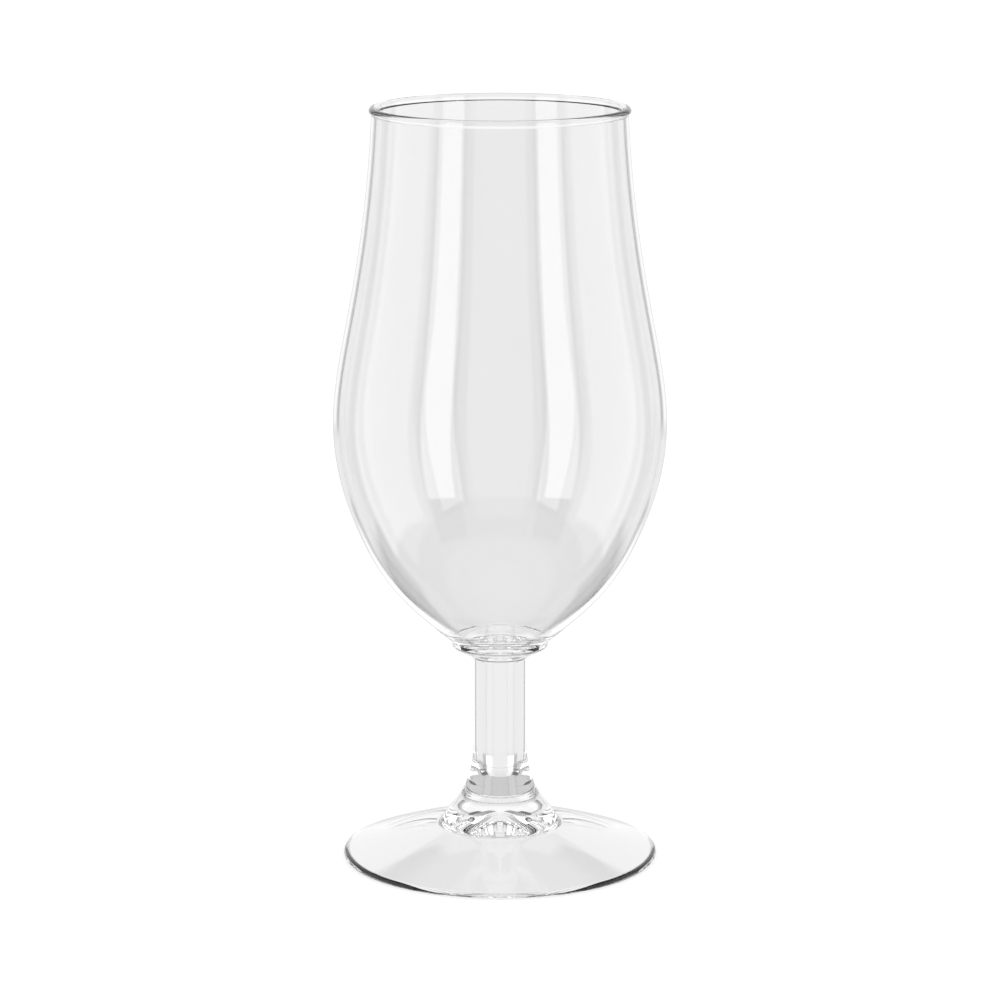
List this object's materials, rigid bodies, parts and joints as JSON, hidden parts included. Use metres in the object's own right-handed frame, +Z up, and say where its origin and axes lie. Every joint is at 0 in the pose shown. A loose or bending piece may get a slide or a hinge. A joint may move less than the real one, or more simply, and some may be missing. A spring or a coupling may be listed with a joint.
{
  "type": "beer glass",
  "caption": "Clear stemmed beer glass: a tulip bowl with a beaded rim on a collar, a short solid stem and a round flared foot, for serving beer.",
  "frame": {"origin": "centre of the foot's standing ring, on the surface that the glass stands on", "axes": "+Z up along the axis of the glass; it is round about that axis, so X and Y are any two level directions"},
  "size_m": [0.0786, 0.0786, 0.18],
  "materials": {
    "clear_glass": "fire-polished, colourless, no cut or print"
  },
  "bodies": {
    "root": {"foot": "clear_glass", "stem": "clear_glass", "merese": "clear_glass", "bowl": "clear_glass"}
  },
  "joints": []
}
